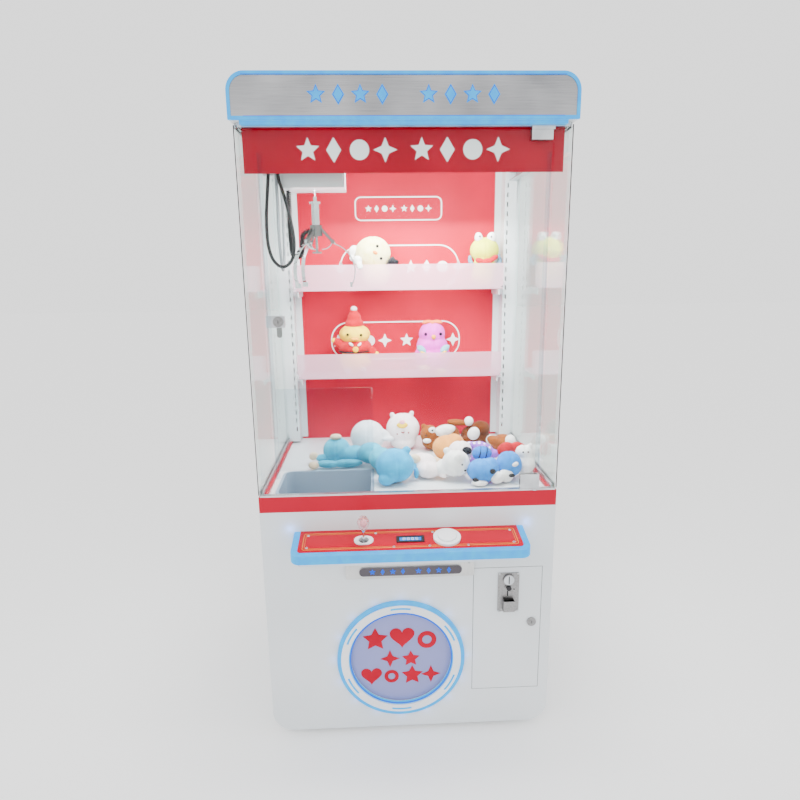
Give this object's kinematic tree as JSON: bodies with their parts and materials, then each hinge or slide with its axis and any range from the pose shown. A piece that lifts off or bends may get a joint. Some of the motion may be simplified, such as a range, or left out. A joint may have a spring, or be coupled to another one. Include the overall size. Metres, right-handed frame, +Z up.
{
  "type": "claw crane machine",
  "caption": "Upright coin-operated claw crane machine: glass showcase with hinged door, travelling claw, joystick console, coin door and round prize flap.",
  "frame": {"origin": "on the floor under the middle of the bounding box", "axes": "+Z up, the player stands on the -Y side, +X towards the player's right"},
  "size_m": [0.872, 0.888, 1.9],
  "materials": {
    "aluminium": "satin",
    "black_plastic": "matte",
    "chrome": "polished",
    "clear_glass": "polished",
    "cord_jacket": "matte",
    "duct_grey": "satin",
    "flap_plastic": "translucent",
    "frosted_acrylic": "frosted",
    "lit_acrylic": "translucent",
    "pink_crystal": "clear",
    "plush": "plush",
    "red_acrylic": "gloss",
    "red_paint": "gloss",
    "stainless": "brushed",
    "steel_frame": "satin",
    "white_plastic": "gloss",
    "white_steel": "satin",
    "zinc": "satin"
  },
  "bodies": {
    "cabinet": {"back_panel": "red_acrylic", "badge_board": "white_plastic", "base_frame": "steel_frame", "base_wrap": "white_steel", "bridge_cable": "cord_jacket", "cash_box": "zinc", "chute_duct": "duct_grey", "chute_guard": "clear_glass", "console_body": "white_steel", "console_light_band": "lit_acrylic", "console_top": "red_acrylic", "control_housings": "white_plastic", "display": "black_plastic", "fixed_glass": "clear_glass", "front_panel": "white_steel", "gantry_rails": "aluminium", "glass_frame": "aluminium", "header_face": "stainless", "header_lights": "lit_acrylic", "header_shell": "white_steel", "hinge_pins": "zinc", "inner_sign": "red_acrylic", "levelling_feet": "zinc", "playfield_deck": "white_plastic", "plush_on_deck": "plush", "plush_on_shelves": "plush", "power_unit": "black_plastic", "prize_bin": "duct_grey", "prize_ring": "white_plastic", "prize_ring_lights": "lit_acrylic", "rear_panel": "white_steel", "rear_uprights": "white_steel", "shelves": "frosted_acrylic", "waist_band": "red_paint"},
    "glass_door": {"glass_door": "clear_glass", "door_hardware": "aluminium"},
    "glass_lock": {"glass_lock_core": "zinc"},
    "coin_door": {"coin_door": "white_steel", "coin_mechanism": "zinc"},
    "coin_lock": {"coin_lock_core": "zinc"},
    "coin_reject": {"coin_reject_button": "black_plastic"},
    "prize_flap": {"prize_flap": "flap_plastic"},
    "stick_gimbal": {"joystick_gimbal": "zinc"},
    "joystick": {"joystick_shaft": "chrome", "joystick_knob": "pink_crystal"},
    "push_button": {"button_plunger": "white_plastic"},
    "power_rocker": {"power_switch": "black_plastic"},
    "bridge": {"bridge_frame": "aluminium", "trolley_cable": "cord_jacket"},
    "trolley": {"trolley_frame": "zinc", "trolley_cover": "white_steel", "hoist_cord": "cord_jacket", "claw_cord": "cord_jacket"},
    "winch": {"winch_drum": "black_plastic"},
    "claw": {"claw_head": "chrome", "claw_hub": "zinc"},
    "claw_plunger": {"claw_plunger": "zinc"},
    "finger_1": {"claw_finger_1": "chrome"},
    "finger_2": {"claw_finger_2": "chrome"},
    "finger_3": {"claw_finger_3": "chrome"}
  },
  "joints": [
    {"name": "glass_door_hinge", "type": "hinge", "parent": "cabinet", "child": "glass_door", "pos_m": [0.365, -0.321, 0.805], "axis": [0, 0, 1], "range_deg": [0, 110]},
    {"name": "glass_lock_turn", "type": "hinge", "parent": "glass_door", "child": "glass_lock", "pos_m": [-0.345, -0.326, 1.296], "axis": [0, 1, 0], "range_deg": [0, 90]},
    {"name": "coin_door_hinge", "type": "hinge", "parent": "cabinet", "child": "coin_door", "pos_m": [0.195, -0.323, 0.349], "axis": [0, 0, -1], "range_deg": [0, 93]},
    {"name": "coin_lock_turn", "type": "hinge", "parent": "coin_door", "child": "coin_lock", "pos_m": [0.371, -0.326, 0.372], "axis": [0, -1, 0], "range_deg": [0, 90]},
    {"name": "coin_reject_push", "type": "slide", "parent": "coin_door", "child": "coin_reject", "axis": [0, 1, 0], "range_m": [0, 0.005], "stiffness_N_per_m": 400, "springref_m": -0.002},
    {"name": "prize_flap_hinge", "type": "hinge", "parent": "cabinet", "child": "prize_flap", "pos_m": [-0.029, -0.312, 0.432], "axis": [1, 0, 0], "range_deg": [0, 65]},
    {"name": "joystick_fore_aft", "type": "hinge", "parent": "cabinet", "child": "stick_gimbal", "pos_m": [-0.132, -0.3764, 0.65843], "axis": [1, 0, 0], "range_deg": [-12, 12], "stiffness_Nm_per_rad": 0.6},
    {"name": "joystick_side", "type": "hinge", "parent": "stick_gimbal", "child": "joystick", "pos_m": [-0.132, -0.3764, 0.65843], "axis": [0, 0.9869, 0.1616], "range_deg": [-12, 12], "stiffness_Nm_per_rad": 0.6},
    {"name": "button_press", "type": "slide", "parent": "cabinet", "child": "push_button", "axis": [0, 0.1616, -0.9869], "range_m": [0, 0.004], "stiffness_N_per_m": 500, "springref_m": -0.002},
    {"name": "power_rocker_tilt", "type": "hinge", "parent": "cabinet", "child": "power_rocker", "pos_m": [-0.3, 0.436, 0.164], "axis": [1, 0, 0], "range_deg": [-14, 14]},
    {"name": "bridge_travel", "type": "slide", "parent": "cabinet", "child": "bridge", "axis": [0, 1, 0], "range_m": [0, 0.23], "deforming": ["bridge_cable"]},
    {"name": "trolley_travel", "type": "slide", "parent": "bridge", "child": "trolley", "axis": [1, 0, 0], "range_m": [0, 0.492], "deforming": ["trolley_cable"]},
    {"name": "claw_hoist", "type": "slide", "parent": "trolley", "child": "claw", "axis": [0, 0, -1], "range_m": [0, 0.42], "deforming": ["hoist_cord", "claw_cord"]},
    {"name": "winch_spin", "type": "hinge", "parent": "trolley", "child": "winch", "pos_m": [-0.2598, -0.194, 1.68], "axis": [0, 1, 0], "range_deg": [-5, 1793]},
    {"name": "claw_close", "type": "slide", "parent": "claw", "child": "claw_plunger", "axis": [0, 0, 1], "range_m": [0, 0.0224], "stiffness_N_per_m": 60, "springref_m": -0.01},
    {"name": "finger_1_swing", "type": "hinge", "parent": "claw", "child": "finger_1", "pos_m": [-0.201, -0.194, 1.507], "axis": [0, 1, 0], "range_deg": [-0.5, 37.6]},
    {"name": "finger_2_swing", "type": "hinge", "parent": "claw", "child": "finger_2", "pos_m": [-0.2685, -0.15503, 1.507], "axis": [-0.866, -0.5, 0], "range_deg": [-0.5, 37.6]},
    {"name": "finger_3_swing", "type": "hinge", "parent": "claw", "child": "finger_3", "pos_m": [-0.2685, -0.23297, 1.507], "axis": [0.866, -0.5, 0], "range_deg": [-0.5, 37.6]}
  ],
  "couplings": [
    {"joint": "winch_spin", "follows": "claw_hoist", "rad_per_m": 74.074},
    {"joint": "finger_1_swing", "follows": "claw_close", "rad_per_m": 28.829},
    {"joint": "finger_2_swing", "follows": "claw_close", "rad_per_m": 28.829},
    {"joint": "finger_3_swing", "follows": "claw_close", "rad_per_m": 28.829}
  ]
}
